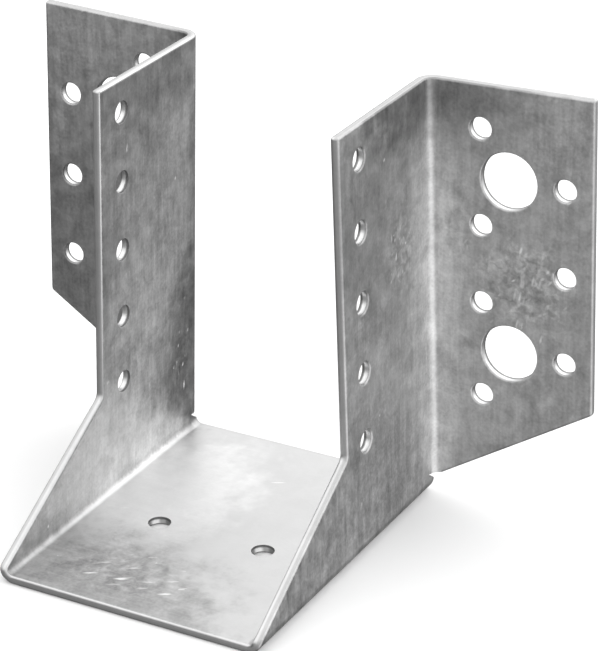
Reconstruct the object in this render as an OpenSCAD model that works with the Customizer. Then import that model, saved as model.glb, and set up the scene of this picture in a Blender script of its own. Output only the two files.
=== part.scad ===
// Joist hanger folded from one galvanised steel sheet: a seat, two sides and two flanges
// +X runs across the joist, +Y points at the header and +Z is up
// The origin lies on the underside of the seat, at the middle of its depth

/* [Sheet] */
// Thickness of the sheet
sheet_t = 2; // [1.5:0.1:3]
// Inside radius of the bends between the seat and the sides
seat_bend_r = 1.5; // [0.5:0.1:4]
// Inside radius of the bends between the sides and the flanges
flange_bend_r = 2; // [0.5:0.1:4]

/* [Joist pocket] */
// Clear width between the feet of the two sides, for the joist
joist_w = 60; // [40:1:140]
// Depth of the seat, from the header face to its front edge
seat_d = 81; // [64:1:120]
// Gap that keeps the back edge of the seat clear of the header
seat_gap = 1.6; // [0:0.1:2]
// Height of a side, from the underside of the seat along the side to its top edge
hanger_h = 98.5; // [60:0.5:240]

/* [Sides] */
// Angle by which each side is folded past upright, so that it springs against the joist
side_lean = 1.75; // [0:0.25:3]
// Depth of a side above its sloped part, from the header face to its front edge
side_d = 42; // [30:1:60]
// Height above the seat at which the sloped front edge would meet the seat's front edge
lip_h = 1.1; // [0.1:0.1:5]
// Radius of the rounded corner between the sloped edge and the seat's front edge
lip_r = 2; // [0.5:0.1:3]
// Height above the seat at which the sloped front edge turns upright
kink_h = 24.5; // [12:0.5:60]
// Inside radius of the corner where the front edge turns upright
kink_r = 2; // [0.5:0.1:6]

/* [Flanges] */
// Reach of a flange, from the outer face of its side to its outer edge
flange_w = 38; // [36:1:70]
// Height above the seat at which the outer edge of a flange starts
flange_low = 24.5; // [10:0.5:32]
// Height from the end of the seat's bend to the root of the notch under a flange's bend
notch_rise = 1.2; // [0.8:0.1:6]
// Height of that notch at its root, where it frees a flange's bend from the side below it
notch_h = 0.6; // [0.3:0.1:0.9]
// Diameter of the round end of the notch
notch_end_d = 1; // [1:0.1:1.6]
// Height above the seat of the side's back corner, where the notch opens
notch_tail = 1; // [0.5:0.1:1.5]

/* [Bolt holes] */
// Diameter of a bolt hole
bolt_d = 13; // [6:0.5:16]
// Distance of the bolt holes from the outer face of the side
bolt_x = 18.5; // [16:0.5:20]
// Height of the lowest bolt hole above the seat
bolt_low = 35.5; // [30:0.5:42]
// Height of one bolt hole above the next
bolt_pitch = 40; // [34:1:60]

/* [Nail holes] */
// Diameter of a nail hole
nail_d = 5; // [3:0.5:6]
// Least distance of a nail hole's centre from the top edges
nail_top_edge = 4.5; // [4:0.5:12]
// Distance of the inner nail holes from the outer face of the side
inner_nail_x = 12; // [9:0.5:13]
// Height of an inner nail hole above or below the bolt hole beside it
inner_nail_rise = 11; // [10:0.5:14]
// Distance of the outer nail holes from the outer face of the side
outer_nail_x = 31.5; // [30:0.5:34]
// Distance of the side nail holes from the front edge of the side
side_nail_edge = 8.5; // [5:0.5:20]
// Height of the lowest side nail hole above the seat
side_nail_low = 25; // [12:0.5:27]
// Height of one side nail hole above the next
side_nail_pitch = 16; // [8:0.5:30]
// Distance between the two nail holes in the seat
seat_nail_pitch = 26; // [12:1:44]
// Distance of the seat nail holes from the header face
seat_nail_y = 46.5; // [10:0.5:70]

/* [Hidden] */
$fn = 64;

// Length by which a cutter, or stock that is cut, runs past the finished faces
cut_over = 1;
// Length by which a bend laps the flat that it turns out from
lap = 1;
// Depth by which the circle of a round corner crosses the two edges that it joins
bite = 0.002;
// Grey of the zinc coat
zinc = [0.68, 0.69, 0.70];

// Faces across the joist, on an upright right side
inner_x = joist_w / 2;
flat_x = inner_x - seat_bend_r;
outer_x = inner_x + sheet_t;
plate_x = outer_x + flange_bend_r;
reach_x = outer_x + flange_w;

// Planes from the header forward
header_y = seat_d / 2;
tail_y = header_y - seat_gap;
bend_y = header_y - sheet_t - flange_bend_r;
edge_y = header_y - side_d;
front_y = header_y - seat_d;

// Heights above the underside, on an upright side
seat_z = sheet_t;
wall_z = seat_z + seat_bend_r;
lip_z = seat_z + lip_h;
kink_z = seat_z + kink_h;
tail_z = seat_z + notch_tail;
notch_z = wall_z + notch_rise;
foot_z = notch_z + notch_h;
low_z = seat_z + flange_low;

// Lean with its cosine rounded to six decimals, which keeps the folded faces flush with the seat
lean = acos(round(1e6 * cos(side_lean)) / 1e6);

// Slope of the front edge, and the tangent lengths of the round corners at its two ends
slope_a = atan2(kink_z - lip_z, edge_y - front_y);
slope_dir = [cos(slope_a), sin(slope_a)];
kink_tangent = kink_r / tan((90 + slope_a) / 2);
lip_tangent = lip_r / tan((90 + slope_a) / 2);

// Slope of the lower edge of a flange
flange_slope = (low_z - foot_z) / (reach_x - plate_x);

// Hole heights: each column has as many holes as the height allows
nail_top_z = hanger_h - nail_top_edge;
bolts = 1 + floor((nail_top_z - inner_nail_rise - seat_z - bolt_low) / bolt_pitch);
bolt_z = [for (i = [0 : bolts - 1]) seat_z + bolt_low + i * bolt_pitch];
inner_nail_z = [for (z = bolt_z, s = [-1, 1]) z + s * inner_nail_rise];
outer_nail_z = [for (i = [0 : 2 * (bolts - 1)]) bolt_z[0] + i * bolt_pitch / 2];
side_nails = 1 + floor((nail_top_z - seat_z - side_nail_low) / side_nail_pitch);
side_nail_z = [for (i = [0 : side_nails - 1]) seat_z + side_nail_low + i * side_nail_pitch];

// Draws its children and their mirror image on the left half
module both_sides() {
    children();
    mirror([1, 0, 0]) children();
}

// Folds its children, drawn on an upright right side, over by the lean about the seat's bend
module leaned() {
    translate([flat_x, 0, wall_z]) rotate([0, -lean, 0]) translate([-flat_x, 0, -wall_z]) children();
}

// Section of a bend about the origin, from the X axis round to the given angle past the Y axis
module bend_section(r, past) {
    far = 2 * (r + sheet_t);
    intersection() {
        difference() {
            circle(r + sheet_t);
            circle(r);
        }
        polygon([[0, 0], [far, 0], [far, far], [-far * tan(past), far]]);
    }
}

// Section of the right side, its bend and the short leg that laps the seat, seen from the front
module side_section() {
    translate([inner_x, wall_z]) square([sheet_t, hanger_h + cut_over - wall_z]);
    translate([flat_x, wall_z]) {
        mirror([0, 1]) bend_section(seat_bend_r, lean);
        rotate(-lean) translate([-lap, -seat_bend_r - sheet_t]) square([lap, sheet_t]);
    }
}

// Metal between a corner and the circle that rounds it, whose tangent points are the two ends
module corner_round(corner, centre, ends, r) {
    difference() {
        polygon([2 * corner - centre, ends[0], centre, ends[1]]);
        translate(centre) circle(r + bite);
    }
}

// Metal that fills the inside corner where the front edge turns upright
module kink_fillet() {
    up = [edge_y, kink_z + kink_tangent];
    down = [edge_y, kink_z] - kink_tangent * slope_dir;
    corner_round([edge_y, kink_z], up - [kink_r, 0], [up, down], kink_r);
}

// Metal that is cut from the corner between the sloped edge and the seat's front edge
module lip_cut() {
    up = [front_y, lip_z] + lip_tangent * slope_dir;
    down = [front_y, lip_z - lip_tangent];
    corner_round([front_y, lip_z], down + [lip_r, 0], [up, down], lip_r);
}

// Outline of a side and its bend, seen along the X axis
module side_outline() {
    difference() {
        polygon([
            [front_y, -cut_over],
            [tail_y, -cut_over],
            [tail_y, tail_z],
            [bend_y, notch_z],
            [bend_y, hanger_h],
            [edge_y, hanger_h],
            [edge_y, kink_z],
            [front_y, lip_z]
        ]);
        lip_cut();
    }
    kink_fillet();
}

// Flat of the seat between its two bends
module seat() {
    translate([-flat_x, front_y, 0]) cube([2 * flat_x, tail_y - front_y, sheet_t]);
}

// Right side with the bend that turns it up from the seat
module side() {
    intersection() {
        translate([0, header_y + cut_over, 0]) rotate([90, 0, 0])
            linear_extrude(seat_d + 2 * cut_over) side_section();
        translate([flat_x - lap - cut_over, 0, 0]) rotate([90, 0, 90])
            linear_extrude(outer_x - flat_x + lap + 2 * cut_over) side_outline();
    }
}

// Plan of the right flange, its bend and the short leg that laps the side
module flange_plan() {
    translate([inner_x, bend_y - lap]) square([sheet_t, lap]);
    translate([plate_x, bend_y]) mirror([1, 0]) bend_section(flange_bend_r, 0);
    translate([plate_x, header_y - sheet_t]) square([reach_x - plate_x, sheet_t]);
}

// Metal below the sloped lower edge of the right flange, seen from the front
module flange_trim() {
    polygon([
        [plate_x, foot_z],
        [plate_x, foot_z - cut_over],
        [reach_x + cut_over, foot_z - cut_over],
        [reach_x + cut_over, low_z + flange_slope * cut_over]
    ]);
}

// Right flange with the bend that turns it out from the side
module flange() {
    difference() {
        translate([0, 0, foot_z]) linear_extrude(hanger_h - foot_z) flange_plan();
        translate([0, header_y + cut_over, 0]) rotate([90, 0, 0])
            linear_extrude(sheet_t + 2 * cut_over) flange_trim();
    }
}

// Cutter through the right side
module side_hole(y, z, d) {
    translate([inner_x - cut_over, y, z]) rotate([0, 90, 0])
        cylinder(d = d, h = sheet_t + 2 * cut_over);
}

// Cutter through the right flange
module flange_hole(x, z, d) {
    translate([outer_x + x, header_y + cut_over, z]) rotate([90, 0, 0])
        cylinder(d = d, h = sheet_t + 2 * cut_over);
}

// Nail holes of the right side and the round end of the notch under its flange's bend
module side_holes() {
    for (z = side_nail_z) side_hole(edge_y + side_nail_edge, z, nail_d);
    side_hole(bend_y, notch_z + notch_h / 2, notch_end_d);
}

// Bolt and nail holes of the right flange
module flange_holes() {
    for (z = bolt_z) flange_hole(bolt_x, z, bolt_d);
    for (z = inner_nail_z) flange_hole(inner_nail_x, z, nail_d);
    for (z = outer_nail_z) flange_hole(outer_nail_x, z, nail_d);
}

// Pair of nail holes in the seat
module seat_holes() {
    for (s = [-1, 1]) translate([s * seat_nail_pitch / 2, header_y - seat_nail_y, -cut_over])
        cylinder(d = nail_d, h = sheet_t + 2 * cut_over);
}

// Right side and flange with their holes
module half() {
    leaned() difference() {
        union() {
            side();
            flange();
        }
        side_holes();
        flange_holes();
    }
}

// The folded sheet with all its holes
module hanger() {
    color(zinc) difference() {
        union() {
            seat();
            both_sides() half();
        }
        seat_holes();
    }
}

hanger();
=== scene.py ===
"""Looks of a joist hanger: one folded sheet of galvanised steel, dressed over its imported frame."""

import logging
import math
from dataclasses import dataclass
from enum import IntEnum

import bmesh
import bpy
from mathutils import Matrix, Vector

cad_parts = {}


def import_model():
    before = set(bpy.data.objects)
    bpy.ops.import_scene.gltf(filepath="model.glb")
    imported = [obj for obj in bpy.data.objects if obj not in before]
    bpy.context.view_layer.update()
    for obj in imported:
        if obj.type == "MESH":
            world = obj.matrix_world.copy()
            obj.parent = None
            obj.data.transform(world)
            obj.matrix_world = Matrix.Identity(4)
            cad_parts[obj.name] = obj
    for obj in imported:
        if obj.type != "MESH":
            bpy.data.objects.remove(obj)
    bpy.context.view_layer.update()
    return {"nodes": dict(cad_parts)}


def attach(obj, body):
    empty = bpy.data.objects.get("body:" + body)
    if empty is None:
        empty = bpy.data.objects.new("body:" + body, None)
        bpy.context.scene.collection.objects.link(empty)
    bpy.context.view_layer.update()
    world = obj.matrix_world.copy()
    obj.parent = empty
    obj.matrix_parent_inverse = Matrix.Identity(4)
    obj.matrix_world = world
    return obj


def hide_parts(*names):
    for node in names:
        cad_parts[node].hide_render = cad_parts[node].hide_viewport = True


LOG = logging.getLogger("joist_hanger")

# One millimetre in the scene's metres
MM = 0.001

# Middle of a pattern that runs from 0 to 1
MIDDLE = 0.5

# A value for a node's input: another node's output, a number or a list of numbers
Feed = bpy.types.NodeSocket | float | tuple[float, ...]


class Surface(IntEnum):
    """The kinds of surface on the sheet, by material slot."""

    COAT = 0
    CUT = 1
    BORE = 2


class Sketch:
    """Adds nodes to one shader tree and joins them."""

    def __init__(self, tree: bpy.types.NodeTree) -> None:
        """Starts with the tree emptied."""
        self.tree = tree
        tree.nodes.clear()

    def add(
        self, kind: str, inputs: dict[str | int, Feed] | None = None, **settings: object
    ) -> bpy.types.Node:
        """Adds a node and feeds its inputs.

        Args:
            kind: The node's type, without the prefix that all shader nodes share.
            inputs: What goes into the inputs, by their names or places.
            settings: The node's own properties, such as its operation.

        Returns:
            The new node.
        """
        node = self.tree.nodes.new("ShaderNode" + kind)
        for name, value in settings.items():
            setattr(node, name, value)
        self.put(node, inputs or {})
        return node

    def put(self, node: bpy.types.Node, inputs: dict[str | int, Feed]) -> None:
        """Feeds inputs of a node.

        Args:
            node: The node.
            inputs: What goes into the inputs, by their names or places.
        """
        for key, value in inputs.items():
            if isinstance(value, bpy.types.NodeSocket):
                self.tree.links.new(value, node.inputs[key])
            else:
                node.inputs[key].default_value = value

    def math(self, operation: str, *values: Feed) -> bpy.types.NodeSocket:
        """Works out a number.

        Args:
            operation: The Math node's operation.
            values: Its operands.

        Returns:
            The result's socket.
        """
        node = self.add("Math", dict(enumerate(values)), operation=operation)
        return node.outputs["Value"]

    def vector(self, operation: str, *values: Feed, out: str = "Vector") -> bpy.types.NodeSocket:
        """Works out a vector, or a number from vectors.

        Args:
            operation: The Vector Math node's operation.
            values: Its operands.
            out: The name of the output to take.

        Returns:
            The result's socket.
        """
        node = self.add("VectorMath", dict(enumerate(values)), operation=operation)
        return node.outputs[out]

    def spread(
        self,
        value: Feed,
        source: tuple[Feed, Feed],
        target: tuple[Feed, Feed] = (0.0, 1.0),
        smooth: bool = False,
    ) -> bpy.types.NodeSocket:
        """Maps a number from one range to another, held inside the second.

        Args:
            value: The number.
            source: The range that it comes from.
            target: The range that it goes to.
            smooth: Whether the ends of the range are eased.

        Returns:
            The mapped number's socket.
        """
        inputs = {
            "Value": value,
            "From Min": source[0],
            "From Max": source[1],
            "To Min": target[0],
            "To Max": target[1],
        }
        kind = "SMOOTHSTEP" if smooth else "LINEAR"
        return self.add("MapRange", inputs, interpolation_type=kind).outputs["Result"]

    def noise(
        self, vector: Feed, scale: Feed, detail: float = 2.0, warp: float = 0.0
    ) -> bpy.types.NodeSocket:
        """Adds a cloudy pattern.

        Args:
            vector: The place on the surface.
            scale: How many blotches fit in a unit.
            detail: How many finer layers lie in it.
            warp: How far the pattern is bent.

        Returns:
            The pattern's value, from 0 to 1.
        """
        inputs = {"Vector": vector, "Scale": scale, "Detail": detail, "Distortion": warp}
        return self.add("TexNoise", inputs).outputs["Fac"]

    def sum(self, values: tuple[Feed, ...], weights: tuple[float, ...]) -> bpy.types.NodeSocket:
        """Adds up numbers by their weights.

        Args:
            values: The numbers.
            weights: Their weights, in the same order.

        Returns:
            The weighted sum's socket.
        """
        total = self.math("MULTIPLY", values[0], weights[0])
        for value, weight in zip(values[1:], weights[1:]):
            total = self.math("MULTIPLY_ADD", value, weight, total)
        return total

    def share(self, mask: Feed, level: float) -> bpy.types.NodeSocket:
        """Gives the factor that a mask takes from 1 to a level."""
        return self.spread(mask, (0.0, 1.0), (1.0, level))

    def grey(self, value: Feed) -> bpy.types.NodeSocket:
        """Gives the grey colour of a number."""
        return self.add("CombineColor", {"Red": value, "Green": value, "Blue": value}).outputs["Color"]

    def metal(self, colour: Feed, rough: Feed, height: Feed, relief: float) -> None:
        """Ends a material with a metal surface.

        Args:
            colour: Its colour.
            rough: Its roughness.
            height: The pattern of its relief.
            relief: The relief's depth.
        """
        bump = self.add("Bump", {"Strength": 1.0, "Distance": relief, "Height": height})
        shader = self.add("BsdfPrincipled", {
            "Base Color": colour, "Metallic": 1.0, "Roughness": rough, "Normal": bump.outputs["Normal"],
        })
        self.add("OutputMaterial", {"Surface": shader.outputs["BSDF"]})


class EffectGroup:
    """A shader node group with named inputs and outputs, built once and placed in several finishes."""

    KINDS = {float: "NodeSocketFloat", tuple: "NodeSocketVector"}

    def __init__(
        self, name: str, inputs: dict[str, float | tuple[float, ...]], outputs: tuple[str, ...]
    ) -> None:
        """Makes the group's sockets.

        Args:
            name: The group's name.
            inputs: Its inputs with their starting values.
            outputs: The names of its outputs, all of them numbers.
        """
        self.tree = bpy.data.node_groups.new(name, "ShaderNodeTree")
        self.sketch = Sketch(self.tree)
        for label, value in inputs.items():
            kind = self.KINDS[type(value)]
            socket = self.tree.interface.new_socket(label, in_out="INPUT", socket_type=kind)
            socket.default_value = value
        for label in outputs:
            self.tree.interface.new_socket(label, in_out="OUTPUT", socket_type="NodeSocketFloat")
        self.inputs = self.tree.nodes.new("NodeGroupInput").outputs
        self.result = self.tree.nodes.new("NodeGroupOutput")

    def place(self, sketch: Sketch, inputs: dict[str | int, Feed]) -> bpy.types.NodeOutputs:
        """Places the group in a finish.

        Args:
            sketch: The finish's sketch.
            inputs: What goes into the group.

        Returns:
            The group's outputs there.
        """
        node = sketch.add("Group")
        node.node_tree = self.tree
        sketch.put(node, inputs)
        return node.outputs


class MottleGroup(EffectGroup):
    """Clouds, crystal cells, fine grain and rubbed speckle of a zinc coat.

    Scales count the blotches in a metre, and shares weigh the patterns that make up an output.
    """

    CLOUD = 90.0
    BLOTCH = 260.0
    CELL = 330.0
    GRAIN = 1500.0
    SPECKLE = 500.0
    CELL_BEND = (0.004, 0.004, 0.004)
    TONE_SHARES = (0.3, 0.4, 0.05, 0.25)
    GLOSS_SHARES = (0.5, 0.5)
    HEIGHT_SHARES = (0.6, 1.2, 0.05)

    def __init__(self) -> None:
        """Builds the pattern from a place on the surface."""
        super().__init__("zinc_mottle", {"Vector": (0.0, 0.0, 0.0)}, ("Tone", "Gloss", "Height", "Speckle"))
        draw, place = self.sketch, self.inputs["Vector"]
        cloud = draw.noise(place, self.CLOUD, detail=3.0, warp=0.4)
        blotch = draw.noise(place, self.BLOTCH, detail=4.0, warp=0.6)
        grain = draw.noise(place, self.GRAIN, detail=2.0)
        speckle = draw.noise(place, self.SPECKLE, detail=4.0, warp=0.7)
        bend = draw.add("TexNoise", {"Vector": place, "Scale": self.CELL, "Detail": 2.0}).outputs["Color"]
        bent = draw.vector("MULTIPLY_ADD", bend, self.CELL_BEND, place)
        cell = draw.add("TexVoronoi", {"Vector": bent, "Scale": self.CELL}).outputs["Color"]
        crystal = draw.add("SeparateColor", {"Color": cell}).outputs["Red"]
        painted_patch = draw.sum((cloud, blotch, crystal, grain), self.TONE_SHARES)
        gloss = draw.sum((blotch, grain), self.GLOSS_SHARES)
        height = draw.sum((grain, blotch, crystal), self.HEIGHT_SHARES)
        draw.put(self.result, {"Tone": painted_patch, "Gloss": gloss, "Height": height, "Speckle": speckle})


class StreakGroup(EffectGroup):
    """Fine streaks along the way the sheet was rolled: upright on the sides, across the seat."""

    ALONG = 60.0
    ACROSS = 1000.0
    LYING = (0.6, 0.8)

    def __init__(self) -> None:
        """Builds the streaks from a place on the surface and its direction."""
        inputs = {"Vector": (0.0, 0.0, 0.0), "Normal": (0.0, 0.0, 1.0)}
        super().__init__("rolling_streaks", inputs, ("Streak", "Level"))
        draw, place = self.sketch, self.inputs["Vector"]
        upright = draw.vector("MULTIPLY", place, (self.ACROSS, self.ACROSS, self.ALONG))
        level = draw.vector("MULTIPLY", place, (self.ALONG, self.ACROSS, self.ACROSS))
        facing = draw.add("SeparateXYZ", {"Vector": self.inputs["Normal"]}).outputs["Z"]
        lies = draw.spread(draw.math("ABSOLUTE", facing), self.LYING)
        chosen = draw.add("Mix", {"Factor": lies, "A": upright, "B": level}, data_type="VECTOR")
        streak = draw.noise(chosen.outputs["Result"], 1.0, detail=4.0, warp=0.5)
        draw.put(self.result, {"Streak": streak, "Level": lies})


class NickGroup(EffectGroup):
    """Short bright nicks that lie one way, as handling leaves them."""

    WAVE = 400.0
    BEND = (0.0006, 0.0006, 0.0006)
    CORE = 0.14
    RIM = 0.38
    FORCE = (0.35, 1.0)

    def __init__(self) -> None:
        """Builds the nicks from a place on the surface, their direction, their size and their share."""
        inputs = {"Vector": (0.0, 0.0, 0.0), "Turn": (0.0, 0.0, 0.0), "Cell": (1.0, 1.0, 1.0), "Share": 0.5}
        super().__init__("handling_nicks", inputs, ("Mask",))
        draw, place = self.sketch, self.inputs["Vector"]
        wave = draw.add("TexNoise", {"Vector": place, "Scale": self.WAVE, "Detail": 2.0}).outputs["Color"]
        bent = draw.vector("MULTIPLY_ADD", wave, self.BEND, place)
        turn = {"Vector": bent, "Rotation": self.inputs["Turn"]}
        turned = draw.add("VectorRotate", turn, rotation_type="EULER_XYZ")
        cells = draw.vector("DIVIDE", turned.outputs["Vector"], self.inputs["Cell"])
        point = draw.add("TexVoronoi", {"Vector": cells, "Scale": 1.0})
        chance = draw.add("SeparateColor", {"Color": point.outputs["Color"]}).outputs
        kept = draw.math("LESS_THAN", chance["Red"], self.inputs["Share"])
        spot = draw.spread(point.outputs["Distance"], (self.CORE, self.RIM), (1.0, 0.0))
        force = draw.spread(chance["Green"], (0.0, 1.0), self.FORCE)
        draw.put(self.result, {"Mask": draw.math("MULTIPLY", draw.math("MULTIPLY", spot, kept), force)})


class PatchGroup(EffectGroup):
    """A soft patch with a ragged rim, about a centre."""

    RAGGED = 240.0
    SWAY = 0.9
    FADE = (0.35, 1.0)

    def __init__(self) -> None:
        """Builds the patch from a place on the surface, its centre and its radii."""
        inputs = {"Vector": (0.0, 0.0, 0.0), "Centre": (0.0, 0.0, 0.0), "Radii": (0.01, 0.01, 0.01)}
        # Serves the scuffs and the wear, and also the patches of painted light and shade
        super().__init__("wear_and_painted_light_patch", inputs, ("Mask",))
        draw, place = self.sketch, self.inputs["Vector"]
        away = draw.vector("SUBTRACT", place, self.inputs["Centre"])
        share = draw.vector("LENGTH", draw.vector("DIVIDE", away, self.inputs["Radii"]), out="Value")
        rough = draw.noise(place, self.RAGGED, detail=3.0)
        edge = draw.math("MULTIPLY_ADD", rough, self.SWAY, draw.math("SUBTRACT", share, MIDDLE * self.SWAY))
        draw.put(self.result, {"Mask": draw.spread(edge, self.FADE, (1.0, 0.0), smooth=True)})


@dataclass(frozen=True)
class Effects:
    """The node groups that the finishes share."""

    mottle: MottleGroup
    streaks: StreakGroup
    nicks: NickGroup
    patch: PatchGroup


@dataclass(frozen=True)
class NickLayer:
    """One set of nicks that lie about the same way, on the lying faces or on the upright ones."""

    along: tuple[float, float, float]
    length: float
    width: float
    share: float
    lying: bool

    def turn(self) -> tuple[float, float, float]:
        """Gives the rotation that stands the nicks upright."""
        return tuple(Vector(self.along).rotation_difference(Vector((0.0, 0.0, 1.0))).to_euler())

    def cell(self) -> tuple[float, float, float]:
        """Gives the size of the cell around one nick."""
        return (self.width, self.width, self.length)


@dataclass(frozen=True)
class Patch:
    """A place on the sheet whose look differs, with its radii along the three axes and how much it differs.

    The centre and the radii are in millimetres.
    """

    centre: tuple[float, float, float]
    radii: tuple[float, float, float]
    level: float

    def mask(self, draw: Sketch, group: PatchGroup, place: Feed) -> bpy.types.NodeSocket:
        """Adds the patch to a finish.

        Args:
            draw: The finish's sketch.
            group: The shared node group of a patch.
            place: The place on the surface.

        Returns:
            The patch's mask, 1 at its middle.
        """
        centre, radii = (tuple(MM * value for value in size) for size in (self.centre, self.radii))
        return group.place(draw, {"Vector": place, "Centre": centre, "Radii": radii})["Mask"]


@dataclass(frozen=True)
class ZincCoat:
    """Satin zinc on both faces of the sheet, which is as high as given."""

    height: float
    grey: float = 0.63
    side_swing: float = 1.45
    seat_swing: float = 0.28
    scuff_swing: float = 1.9
    tone_shares: tuple[float, float] = (0.8, 0.2)
    gloss_shares: tuple[float, float] = (0.6, 0.4)
    relief_shares: tuple[float, float, float] = (1.0, 0.15, 0.3)
    gloss_range: tuple[float, float] = (0.35, 0.65)
    polished: float = 0.38
    dull: float = 0.54
    bright: float = 0.97
    nick_rough: float = 0.4
    relief: float = 0.02 * MM
    open_nicks: float = 0.015
    # Painted reflection: the zinc's grey falls from its level at the foot to its level at the top of the
    # sides
    painted_top_level: float = 0.90
    painted_foot_level: float = 1.0
    layers: tuple[NickLayer, ...] = (
        NickLayer((0.87, 0.48, 0.0), 5.0 * MM, 1.1 * MM, 0.5, True),
        NickLayer((0.2, 0.1, 1.0), 4.5 * MM, 1.0 * MM, 0.35, False),
        NickLayer((0.6, 0.3, 0.7), 3.5 * MM, 1.0 * MM, 0.35, False),
    )
    scuffs: tuple[Patch, ...] = (
        # Middle of the right flange
        Patch((52.5, 38.5, 55.0), (14.0, 2.0, 14.0), 1.0),
        # Right flange beside its fold
        Patch((36.5, 38.5, 64.0), (5.0, 2.0, 12.0), 0.5),
        # Right side before its fold
        Patch((30.2, 25.0, 64.0), (2.0, 8.0, 12.0), 0.8),
        # Front of the seat
        Patch((-9.0, -28.0, 2.0), (20.0, 13.0, 2.0), 0.45),
        # Foot of the left side, at its back
        Patch((-29.4, 33.0, 24.0), (2.0, 6.0, 10.0), 0.4),
    )
    # Front of the seat: handling wear that stirs its mottle, and painted shade that darkens it
    worn_and_shaded: Patch = Patch((-11.0, -42.0, 2.0), (38.0, 36.0, 10.0), 0.65)
    # Painted light and shade: broad places where the zinc's grey is raised or lowered
    painted_light_patches: tuple[Patch, ...] = (
        # Painted highlight along the right fold, for the light that the side and the flange throw into each
        # other
        Patch((32.2, 37.4, 46.0), (10.0, 13.0, 66.0), 1.24),
        # Painted shade at the top of the right fold
        Patch((34.0, 32.0, 101.0), (30.0, 36.0, 20.0), 0.60),
        # Painted shade on the upper front of the right side
        Patch((31.0, 8.0, 80.0), (10.0, 24.0, 36.0), 0.74),
        # Painted shade: a dark strip at the foot of the left side, at its back
        Patch((-29.0, 39.0, 24.0), (8.0, 20.0, 30.0), 0.52),
        # Painted shade on the left flange, which sees less of the bright studio than the right one
        Patch((-58.0, 38.5, 22.0), (36.0, 12.0, 84.0), 0.68),
        # Painted reflection of the seat on the lower part of the left side
        Patch((-29.0, 15.0, 38.0), (9.0, 17.0, 26.0), 1.30),
        # Painted shade at the top of the left side
        Patch((-29.0, 20.0, 104.0), (9.0, 44.0, 30.0), 0.66),
        # Painted reflection: the back left of the seat is made brighter
        Patch((-18.0, 7.0, 2.0), (24.0, 34.0, 2.0), 1.26),
        # Painted shade along the left fold
        Patch((-30.0, 40.0, 66.0), (8.0, 8.0, 50.0), 0.70),
        # Painted shade on the sloped part of the left side
        Patch((-30.0, -8.0, 12.0), (6.0, 30.0, 14.0), 0.88),
    )

    def build(self, effects: Effects) -> bpy.types.Material:
        """Makes the finish.

        Args:
            effects: The shared node groups.

        Returns:
            The material.
        """
        material = bpy.data.materials.new("zinc_coat")
        material.use_nodes = True
        draw = Sketch(material.node_tree)
        coordinates = draw.add("TexCoord").outputs
        place = coordinates["Object"]
        mottle = effects.mottle.place(draw, {"Vector": place})
        rolled = effects.streaks.place(draw, {"Vector": place, "Normal": coordinates["Normal"]})
        scuffed = self.scuffed(draw, effects, place)
        nicks = self.nicks(draw, effects, place, scuffed, rolled["Level"])

        cloud = draw.sum((mottle["Tone"], rolled["Streak"]), self.tone_shares)
        shade = self.shade(draw, effects, place, cloud, rolled["Level"])
        rubbed = draw.math("MULTIPLY", draw.math("SUBTRACT", mottle["Speckle"], MIDDLE), self.scuff_swing)
        shade = draw.math("MULTIPLY", shade, draw.math("MULTIPLY_ADD", rubbed, scuffed, 1.0))
        lit = draw.math("MULTIPLY_ADD", draw.math("SUBTRACT", self.bright, shade), nicks, shade)

        gloss = draw.sum((mottle["Gloss"], rolled["Streak"]), self.gloss_shares)
        satin = draw.spread(gloss, self.gloss_range, (self.polished, self.dull))
        rough = draw.math("MULTIPLY_ADD", nicks, self.nick_rough, satin)
        height = draw.sum((mottle["Height"], rolled["Streak"], nicks), self.relief_shares)
        draw.metal(draw.grey(lit), rough, height, self.relief)
        return material

    def shade(
        self, draw: Sketch, effects: Effects, place: Feed, cloud: Feed, level: Feed
    ) -> bpy.types.NodeSocket:
        """Works out how light the zinc is, from its clouds, a painted reflection that darkens it towards
        the top, and the broad patches of painted light and shade.

        Args:
            draw: The material's sketch.
            effects: The shared node groups.
            place: The place on the surface.
            cloud: The cloudy pattern of the coat.
            level: The mask of the lying faces.

        Returns:
            The shade's socket.
        """
        worn_and_shaded = self.worn_and_shaded.mask(draw, effects.patch, place)
        calm = draw.math("MULTIPLY", level, draw.math("SUBTRACT", 1.0, worn_and_shaded))
        swing = draw.spread(calm, (0.0, 1.0), (self.side_swing, self.seat_swing))
        shade = draw.math("MULTIPLY_ADD", draw.math("SUBTRACT", cloud, MIDDLE), swing, self.grey)
        # Painted reflection: the zinc darkens towards the top, as the sides' reflection of the floor falls
        # off
        rise = draw.add("SeparateXYZ", {"Vector": place}).outputs["Z"]
        painted_reflection_falloff = draw.spread(rise, (0.0, self.height), (self.painted_foot_level, self.painted_top_level))
        shade = draw.math("MULTIPLY", shade, painted_reflection_falloff)
        # Painted shade: the front of the seat is darkened
        shade = draw.math("MULTIPLY", shade, draw.share(worn_and_shaded, self.worn_and_shaded.level))
        # Painted light and shade, patch by patch
        for painted_patch in self.painted_light_patches:
            mask = painted_patch.mask(draw, effects.patch, place)
            shade = draw.math("MULTIPLY", shade, draw.share(mask, painted_patch.level))
        return shade

    def scuffed(self, draw: Sketch, effects: Effects, place: Feed) -> bpy.types.NodeSocket:
        """Adds the scuffed places.

        Args:
            draw: The material's sketch.
            effects: The shared node groups.
            place: The place on the surface.

        Returns:
            The mask of all scuffed places.
        """
        total: Feed = 0.0
        for scuff in self.scuffs:
            amount = draw.math("MULTIPLY", scuff.mask(draw, effects.patch, place), scuff.level)
            total = draw.math("MAXIMUM", total, amount)
        return total

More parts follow.
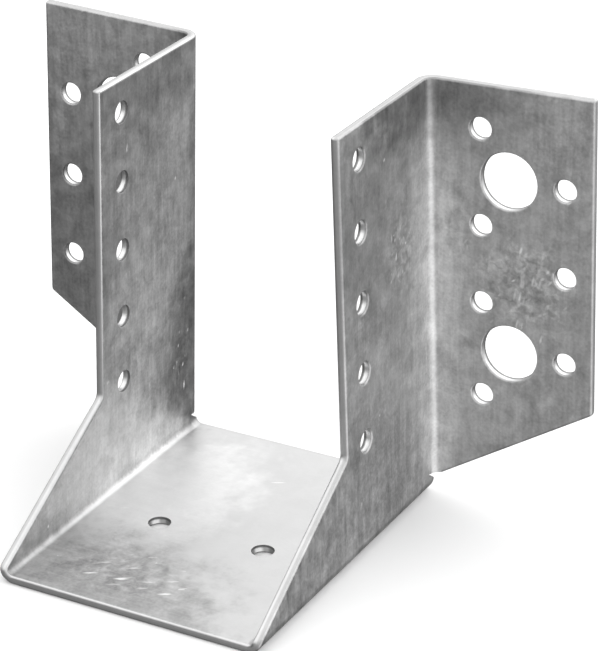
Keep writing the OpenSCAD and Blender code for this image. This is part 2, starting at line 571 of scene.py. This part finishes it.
    def nicks(
        self, draw: Sketch, effects: Effects, place: Feed, scuffed: Feed, level: Feed
    ) -> bpy.types.NodeSocket:
        """Adds the nicks: a few all over and many in the scuffed places.

        Args:
            draw: The material's sketch.
            effects: The shared node groups.
            place: The place on the surface.
            scuffed: The mask of the scuffed places.
            level: The mask of the lying faces.

        Returns:
            The mask of all nicks.
        """
        crowd = draw.math("MAXIMUM", scuffed, self.open_nicks)
        upright = draw.math("SUBTRACT", 1.0, level)
        total: Feed = 0.0
        for layer in self.layers:
            held = draw.math("MULTIPLY", crowd, level if layer.lying else upright)
            share = draw.math("MULTIPLY", held, layer.share)
            inputs = {"Vector": place, "Turn": layer.turn(), "Cell": layer.cell(), "Share": share}
            total = draw.math("MAXIMUM", total, effects.nicks.place(draw, inputs)["Mask"])
        return total


@dataclass(frozen=True)
class CutEdge:
    """Sheared steel, with its own grey and gloss towards each face of the sheet."""

    name: str
    inner: float
    outer: float
    inner_rough: float
    outer_rough: float
    relief: float = 0.02 * MM
    tear: float = 0.55
    tear_fade: float = 0.2
    ragged: float = 0.3
    tone_range: tuple[float, float] = (0.3, 0.7)
    tone_swing: tuple[float, float] = (0.88, 1.1)

    def build(self, effects: Effects) -> bpy.types.Material:
        """Makes the finish.

        Args:
            effects: The shared node groups.

        Returns:
            The material.
        """
        material = bpy.data.materials.new(self.name)
        material.use_nodes = True
        draw = Sketch(material.node_tree)
        place = draw.add("TexCoord").outputs["Object"]
        mottle = effects.mottle.place(draw, {"Vector": place})
        depth = draw.add("Attribute", attribute_name=HangerSheet.DEPTH).outputs["Fac"]
        ragged = draw.math("MULTIPLY_ADD", mottle["Tone"], self.ragged, depth)
        past = draw.spread(ragged, (self.tear, self.tear + self.tear_fade), smooth=True)
        base = draw.spread(past, (0.0, 1.0), (self.inner, self.outer))
        varied = draw.math("MULTIPLY", base, draw.spread(mottle["Tone"], self.tone_range, self.tone_swing))
        rough = draw.spread(past, (0.0, 1.0), (self.inner_rough, self.outer_rough))
        draw.metal(draw.grey(varied), rough, mottle["Height"], self.relief)
        return material


@dataclass(frozen=True)
class Hole:
    """A round hole in the right half of the flat blank."""

    x: float
    y: float
    diameter: float

    REACH = 0.51

    def holds(self, point: Vector) -> bool:
        """Tells whether a point of the right half lies in the hole or on its rim."""
        return math.hypot(point.x - self.x, point.y - self.y) < self.REACH * self.diameter


@dataclass
class HangerSheet:
    """The folded sheet: a flat blank is cut and punched, its arrises are eased, and four bends fold it up.

    On the flat blank, X runs from the middle of the seat up the right side and Y from the front edge of the
    seat past the header face and out along the flange. A height is measured on an upright side from the
    underside of the seat, and a reach from the outer face of the side.
    """

    node: bpy.types.Object
    sheet: float = 2.0 * MM
    seat_bend: float = 1.5 * MM
    flange_bend: float = 2.0 * MM
    pocket: float = 60.0 * MM
    seat_depth: float = 81.0 * MM
    seat_gap: float = 1.6 * MM
    height: float = 98.5 * MM
    lean: float = math.radians(1.75)
    side_depth: float = 42.0 * MM
    lip_rise: float = 1.1 * MM
    lip_round: float = 2.0 * MM
    kink_rise: float = 24.5 * MM
    kink_round: float = 2.0 * MM
    flange_reach: float = 38.0 * MM
    flange_low: float = 24.5 * MM
    notch_rise: float = 1.2 * MM
    notch_gap: float = 0.15 * MM
    notch_end: float = 0.7 * MM
    notch_tail: float = 1.0 * MM
    bolt: float = 13.0 * MM
    bolt_reach: float = 18.5 * MM
    bolt_low: float = 35.5 * MM
    bolt_pitch: float = 40.0 * MM
    nail: float = 5.0 * MM
    inner_reach: float = 12.0 * MM
    inner_step: float = 11.0 * MM
    outer_reach: float = 31.5 * MM
    side_inset: float = 8.5 * MM
    side_low: float = 25.0 * MM
    side_pitch: float = 16.0 * MM
    side_nails: int = 5
    seat_pitch: float = 26.0 * MM
    seat_back: float = 46.5 * MM
    arris: float = 0.6 * MM
    hole_entry: float = 0.45 * MM
    hole_exit: float = 0.12 * MM
    segments: int = 3
    facets: int = 10
    arc_steps: int = 8
    hole_steps: int = 48
    flat_angle: float = math.radians(0.5)
    corner_angle: float = math.radians(55.0)

    DEPTH = "depth_through_sheet"
    LEVEL = 0.5
    SAME_PLACE = 1e-7
    FACE_WEIGHT = 100

    def __post_init__(self) -> None:
        """Works out the places that follow from the sizes."""
        self.flat = self.pocket / 2 - self.seat_bend
        self.wall = self.sheet + self.seat_bend
        self.header = self.seat_depth / 2
        self.tail = self.header - self.seat_gap
        self.bend = self.header - self.sheet - self.flange_bend
        self.edge = self.header - self.side_depth
        self.seat_mid = self.seat_bend + self.sheet / 2
        self.seat_turn = math.pi / 2 + self.lean
        self.seat_arc = self.seat_mid * self.seat_turn
        self.flange_mid = self.flange_bend + self.sheet / 2
        self.flange_arc = self.flange_mid * math.pi / 2
        self.notch_low = self.wall + self.notch_rise
        self.notch_top = self.notch_low + self.notch_gap
        self.notch_middle = self.notch_low + self.notch_gap / 2

    def up(self, height: float) -> float:
        """Gives the X on the flat blank of a height.

        Args:
            height: The height on the side or its bend.

        Returns:
            The X.
        """
        if height >= self.wall:
            return self.flat + self.seat_arc + height - self.wall
        return self.flat + self.seat_mid * (math.acos((self.wall - height) / self.seat_mid) + self.lean)

    def out(self, reach: float) -> float:
        """Gives the Y on the flat blank of a reach on the flange."""
        return self.bend + self.flange_arc + reach - self.flange_bend

    def arc(
        self, y: float, height: float, radius: float, start: float, end: float
    ) -> list[tuple[float, float]]:
        """Gives the points of a round corner.

        Args:
            y: The centre's place along the side.
            height: The centre's height.
            radius: The corner's radius.
            start: The angle of its first point, from the Y axis upwards.
            end: The angle of its last point.

        Returns:
            The points' places along the side and their heights.
        """
        angles = [start + (end - start) * i / self.arc_steps for i in range(self.arc_steps + 1)]
        return [(y + radius * math.cos(angle), height + radius * math.sin(angle)) for angle in angles]

    def outline(self) -> list[tuple[float, float]]:
        """Traces the right half of the blank, from the front of the seat round to its back.

        Returns:
            The points' places on the flat blank.
        """
        lip, kink = self.sheet + self.lip_rise, self.sheet + self.kink_rise
        slope = math.atan2(kink - lip, self.edge + self.header)
        tangent = 1.0 / math.tan((math.pi / 2 + slope) / 2)
        drop = math.atan2(self.sheet + self.notch_tail - self.notch_low, self.tail - self.bend)
        radius, half = self.notch_end / 2, self.notch_gap / 2
        first = math.asin(half / radius)
        last = drop + 1.5 * math.pi + math.acos(half * math.cos(drop) / radius)
        traced = [
            *self.arc(self.lip_round - self.header, lip - self.lip_round * tangent, self.lip_round,
                      math.pi, slope + math.pi / 2),
            *self.arc(self.edge - self.kink_round, kink + self.kink_round * tangent, self.kink_round,
                      slope - math.pi / 2, 0.0),
            (self.edge, self.height),
            (self.out(self.flange_reach), self.height),
            (self.out(self.flange_reach), self.sheet + self.flange_low),
            (self.out(self.flange_bend), self.notch_top),
            *self.arc(self.bend, self.notch_middle, radius, first, last),
            (self.tail, self.sheet + self.notch_tail),
        ]
        return [(self.up(height), y) for y, height in traced]

    def holes(self) -> list[Hole]:
        """Places the holes of the right half.

        Returns:
            The seat's nail hole, the side's column of nail holes and the flange's bolt and nail holes.
        """
        bolts = [self.sheet + self.bolt_low, self.sheet + self.bolt_low + self.bolt_pitch]
        side = [self.sheet + self.side_low + i * self.side_pitch for i in range(self.side_nails)]
        punched = [Hole(self.seat_pitch / 2, self.header - self.seat_back, self.nail)]
        punched += [Hole(self.up(height), self.edge + self.side_inset, self.nail) for height in side]
        punched += [Hole(self.up(height), self.out(self.bolt_reach), self.bolt) for height in bolts]
        for height in (bolts[0], sum(bolts) / 2, bolts[1]):
            punched.append(Hole(self.up(height), self.out(self.outer_reach), self.nail))
        for height in (bolt + step for bolt in bolts for step in (-self.inner_step, self.inner_step)):
            punched.append(Hole(self.up(height), self.out(self.inner_reach), self.nail))
        return punched

    def build(self) -> bpy.types.Object:
        """Makes the sheet from its flat blank.

        Returns:
            The finished piece.
        """
        shell = bmesh.new()
        self.cut_blank(shell)
        self.ease_arrises(shell)
        self.fold(shell)
        mesh = bpy.data.meshes.new("folded_sheet")
        shell.to_mesh(mesh)
        shell.free()
        piece = bpy.data.objects.new("folded_sheet", mesh)
        bpy.context.scene.collection.objects.link(piece)
        level = piece.modifiers.new("flat_faces_stay_flat", "WEIGHTED_NORMAL")
        level.mode = "FACE_AREA"
        level.weight = self.FACE_WEIGHT
        level.keep_sharp = True
        return piece

    def cut_blank(self, shell: bmesh.types.BMesh) -> None:
        """Cuts and punches the flat blank, with the joist's side of it at Z = 0 and the other side below.

        Args:
            shell: The mesh to fill.
        """
        right = self.outline()
        rim = [shell.verts.new((x, y, 0.0)) for x, y in right + [(-x, y) for x, y in reversed(right)]]
        for start, end in zip(rim, rim[1:] + rim[:1]):
            shell.edges.new((start, end))
        for hole in self.holes():
            for side in (-1, 1):
                bmesh.ops.create_circle(
                    shell, radius=hole.diameter / 2, segments=self.hole_steps,
                    matrix=Matrix.Translation((side * hole.x, hole.y, 0.0)),
                )
        bmesh.ops.triangle_fill(shell, edges=shell.edges, use_beauty=True, normal=(0.0, 0.0, 1.0))
        bmesh.ops.dissolve_limit(shell, angle_limit=self.flat_angle, verts=shell.verts, edges=shell.edges)
        bmesh.ops.solidify(shell, geom=shell.faces, thickness=self.sheet)
        top = max(vert.co.z for vert in shell.verts)
        bmesh.ops.translate(shell, verts=shell.verts, vec=(0.0, 0.0, -top))
        bmesh.ops.recalc_face_normals(shell, faces=shell.faces)
        for face in shell.faces:
            face.material_index = Surface.COAT if abs(face.normal.z) > self.LEVEL else Surface.CUT

    def ease_arrises(self, shell: bmesh.types.BMesh) -> None:
        """Rounds the arrises of the blank: its outline without the tight notches, and the holes' rims.

        The holes were punched from the outer face, whose rims are drawn in and keep their coat.

        Args:
            shell: The blank.
        """
        punched = self.holes()
        entries, exits, arrises = [], [], []
        for edge in shell.edges:
            cut = [face for face in edge.link_faces if face.material_index != Surface.COAT]
            gentle = len(cut) == 2 and edge.calc_face_angle() < self.corner_angle
            if gentle or not cut:
                continue
            middle = cut[0].calc_center_median()
            middle.x = abs(middle.x)
            if any(hole.holds(middle) for hole in punched):
                cut[0].material_index = Surface.BORE
                outside = sum(vert.co.z for vert in edge.verts) < -self.sheet
                (entries if outside else exits).append(edge)
            elif not self.in_notch(middle):
                arrises.append(edge)
        for edges, offset in ((exits, self.hole_exit), (entries, self.hole_entry), (arrises, self.arris)):
            rounded = bmesh.ops.bevel(
                shell, geom=edges, offset=offset, offset_type="OFFSET", affect="EDGES",
                segments=self.segments, profile=0.5, material=-1, clamp_overlap=False,
            )
            if edges is entries:
                for face in rounded["faces"]:
                    face.material_index = Surface.COAT
        for edge in shell.edges:
            edge.smooth = edge.calc_face_angle() < self.corner_angle
        for face in shell.faces:
            face.smooth = True

    def in_notch(self, point: Vector) -> bool:
        """Tells whether a point of the right half lies on the cut faces of the notch.

        Args:
            point: The point on the flat blank.

        Returns:
            Whether it lies between the seat's back edge and the flange's lower edge.
        """
        behind = self.bend - self.notch_end < point.y < self.out(self.flange_bend)
        low = self.up(self.sheet + self.notch_tail)
        high = self.up(self.notch_top + self.notch_end)
        return behind and low < point.x < high

    def fold(self, shell: bmesh.types.BMesh) -> None:
        """Folds the blank up, after cutting its faces across each bend.

        Args:
            shell: The flat blank with its arrises eased.
        """
        depth = shell.verts.layers.float.new(self.DEPTH)
        for vert in shell.verts:
            vert[depth] = -vert.co.z / self.sheet
        for i in range(self.facets + 1):
            across = self.flat + self.seat_arc * i / self.facets
            along = self.bend + self.flange_arc * i / self.facets
            cuts = [((across, 0, 0), (1, 0, 0)), ((-across, 0, 0), (1, 0, 0)), ((0, along, 0), (0, 1, 0))]
            for spot, way in cuts:
                geometry = [*shell.verts, *shell.edges, *shell.faces]
                bmesh.ops.bisect_plane(
                    shell, geom=geometry, dist=self.SAME_PLACE, plane_co=spot, plane_no=way,
                )
        for vert in shell.verts:
            vert.co = self.folded(vert.co)

    def folded(self, point: Vector) -> Vector:
        """Gives the place in the finished part of a point on the flat blank.

        Args:
            point: The point on the flat blank.

        Returns:
            Its place.
        """
        deep, y = -point.z, point.y
        run = abs(point.x) - self.flat
        if run <= 0.0:
            return Vector((point.x, y, self.sheet - deep))
        away = self.seat_bend + deep
        if y > self.bend and abs(point.x) > self.up(self.notch_middle):
            turn = min((y - self.bend) / self.flange_mid, math.pi / 2)
            radius = self.flange_bend + self.sheet - deep
            beyond = max(y - self.bend - self.flange_arc, 0.0)
            away = self.seat_bend + self.sheet + self.flange_bend - radius * math.cos(turn) + beyond
            y = self.bend + radius * math.sin(turn)
        turn = min(run / self.seat_mid, self.seat_turn)
        rise = max(run - self.seat_arc, 0.0)
        x = self.flat + away * math.sin(turn) + rise * math.cos(turn)
        z = self.wall - away * math.cos(turn) + rise * math.sin(turn)
        return Vector((math.copysign(x, point.x), y, z))

    def dress(self, effects: Effects) -> bpy.types.Object:
        """Builds the sheet, gives it its finishes and puts it in the place of the frame's solid.

        Args:
            effects: The shared node groups.

        Returns:
            The finished piece.
        """
        piece = self.build()
        finishes = {
            Surface.COAT: ZincCoat(self.height),
            Surface.CUT: CutEdge("cut_edge", inner=0.66, outer=0.55, inner_rough=0.30, outer_rough=0.50),
            # Hole walls: the outer part is burnished steel; the deep grey of the inner part is painted
            # shade inside the holes, on top of the torn steel's own darker grey
            Surface.BORE: CutEdge(
                "hole_wall_painted_shade", inner=0.24, outer=0.80, inner_rough=0.55, outer_rough=0.34, tear=0.36,
            ),
        }
        for surface in Surface:
            piece.data.materials.append(finishes[surface].build(effects))
        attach(piece, "root")
        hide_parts(self.node.name)
        return piece


@dataclass(frozen=True)
class Card:
    """A soft bright patch of the studio, as the metal sees it.

    Angles are in degrees. The azimuth turns from +X to +Y.
    """

    azimuth: float
    elevation: float
    core: float
    rim: float
    strength: float

    def way(self) -> tuple[float, float, float]:
        """Gives the direction from the part to the card."""
        turn, rise = math.radians(self.azimuth), math.radians(self.elevation)
        return (math.cos(turn) * math.cos(rise), math.sin(turn) * math.cos(rise), math.sin(rise))


@dataclass(frozen=True)
class Studio:
    """Pale floor, soft surrounding light and the camera at the photograph's angle."""

    floor_size: float = 4.0
    floor_drop: float = 0.02 * MM
    floor_grey: float = 0.96
    low_light: float = 0.17
    high_light: float = 1.3
    horizon: tuple[float, float] = (-0.22, 0.44)
    cards: tuple[Card, ...] = (
        # Seen in the right fold and the front arrises
        Card(-14.0, -24.0, 18.0, 48.0, 1.2),
        # Seen in the seat and the foot of the left side
        Card(60.0, 30.0, 20.0, 65.0, 0.95),
        # Seen in the sloped edges
        Card(190.0, 62.0, 20.0, 60.0, 0.5),
        # Seen in the right side and the right flange
        Card(-80.0, -25.0, 30.0, 48.0, 0.36),
    )
    azimuth: float = 28.989
    elevation: float = 25.678
    roll: float = -0.433
    distance: float = 590.33 * MM
    target: tuple[float, float, float] = (13.403 * MM, 10.5 * MM, 48.784 * MM)
    lens: float = 153.77

    def lay_floor(self) -> None:
        """Lays the pale floor under the part."""
        plane = bmesh.new()
        bmesh.ops.create_grid(plane, x_segments=1, y_segments=1, size=self.floor_size / 2)
        bmesh.ops.translate(plane, verts=plane.verts, vec=(0.0, 0.0, -self.floor_drop))
        mesh = bpy.data.meshes.new("floor")
        plane.to_mesh(mesh)
        plane.free()
        floor = bpy.data.objects.new("floor", mesh)
        bpy.context.scene.collection.objects.link(floor)
        material = bpy.data.materials.new("pale_floor")
        material.use_nodes = True
        draw = Sketch(material.node_tree)
        paint = (self.floor_grey, self.floor_grey, self.floor_grey, 1.0)
        shader = draw.add("BsdfDiffuse", {"Color": paint})
        draw.add("OutputMaterial", {"Surface": shader.outputs["BSDF"]})
        mesh.materials.append(material)
        floor.visible_glossy = False

    def hang_light(self) -> None:
        """Sets the surrounding light: dim below, bright above, with soft cards."""
        world = bpy.data.worlds.new("studio")
        world.use_nodes = True
        draw = Sketch(world.node_tree)
        way = draw.vector("NORMALIZE", draw.add("TexCoord").outputs["Generated"])
        rise = draw.add("SeparateXYZ", {"Vector": way}).outputs["Z"]
        light = draw.spread(rise, self.horizon, (self.low_light, self.high_light), smooth=True)
        for card in self.cards:
            facing = draw.vector("DOT_PRODUCT", way, card.way(), out="Value")
            edge = (math.cos(math.radians(card.rim)), math.cos(math.radians(card.core)))
            light = draw.math("ADD", light, draw.spread(facing, edge, (0.0, card.strength), smooth=True))
        glow = draw.add("Background", {"Strength": light})
        draw.add("OutputWorld", {"Surface": glow.outputs["Background"]})
        bpy.context.scene.world = world

    def set_camera(self) -> None:
        """Sets the camera at the photograph's angle."""
        data = bpy.data.cameras.new("photo_camera")
        data.lens = self.lens
        camera = bpy.data.objects.new("photo_camera", data)
        bpy.context.scene.collection.objects.link(camera)
        turn = Matrix.Rotation(math.radians(self.azimuth), 4, "Z")
        tilt = Matrix.Rotation(math.radians(90.0 - self.elevation), 4, "X")
        roll = Matrix.Rotation(math.radians(self.roll), 4, "Z")
        back = Matrix.Translation((0.0, 0.0, self.distance))
        camera.matrix_world = Matrix.Translation(self.target) @ turn @ tilt @ back @ roll
        bpy.context.scene.camera = camera

    def build(self) -> None:
        """Sets up the floor, the light, the camera and a plain tone curve."""
        self.lay_floor()
        self.hang_light()
        self.set_camera()
        bpy.context.scene.view_settings.view_transform = "Standard"


def main() -> None:
    """Loads the frame, then builds the studio and the sheet in order."""
    logging.basicConfig(level=logging.INFO, format="%(name)s: %(message)s")
    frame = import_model()
    Studio().build()
    effects = Effects(MottleGroup(), StreakGroup(), NickGroup(), PatchGroup())
    sheet = HangerSheet(frame["nodes"]["hanger"]).dress(effects)
    LOG.info("%s: %d faces", sheet.name, len(sheet.data.polygons))


if __name__ == "__main__":
    main()
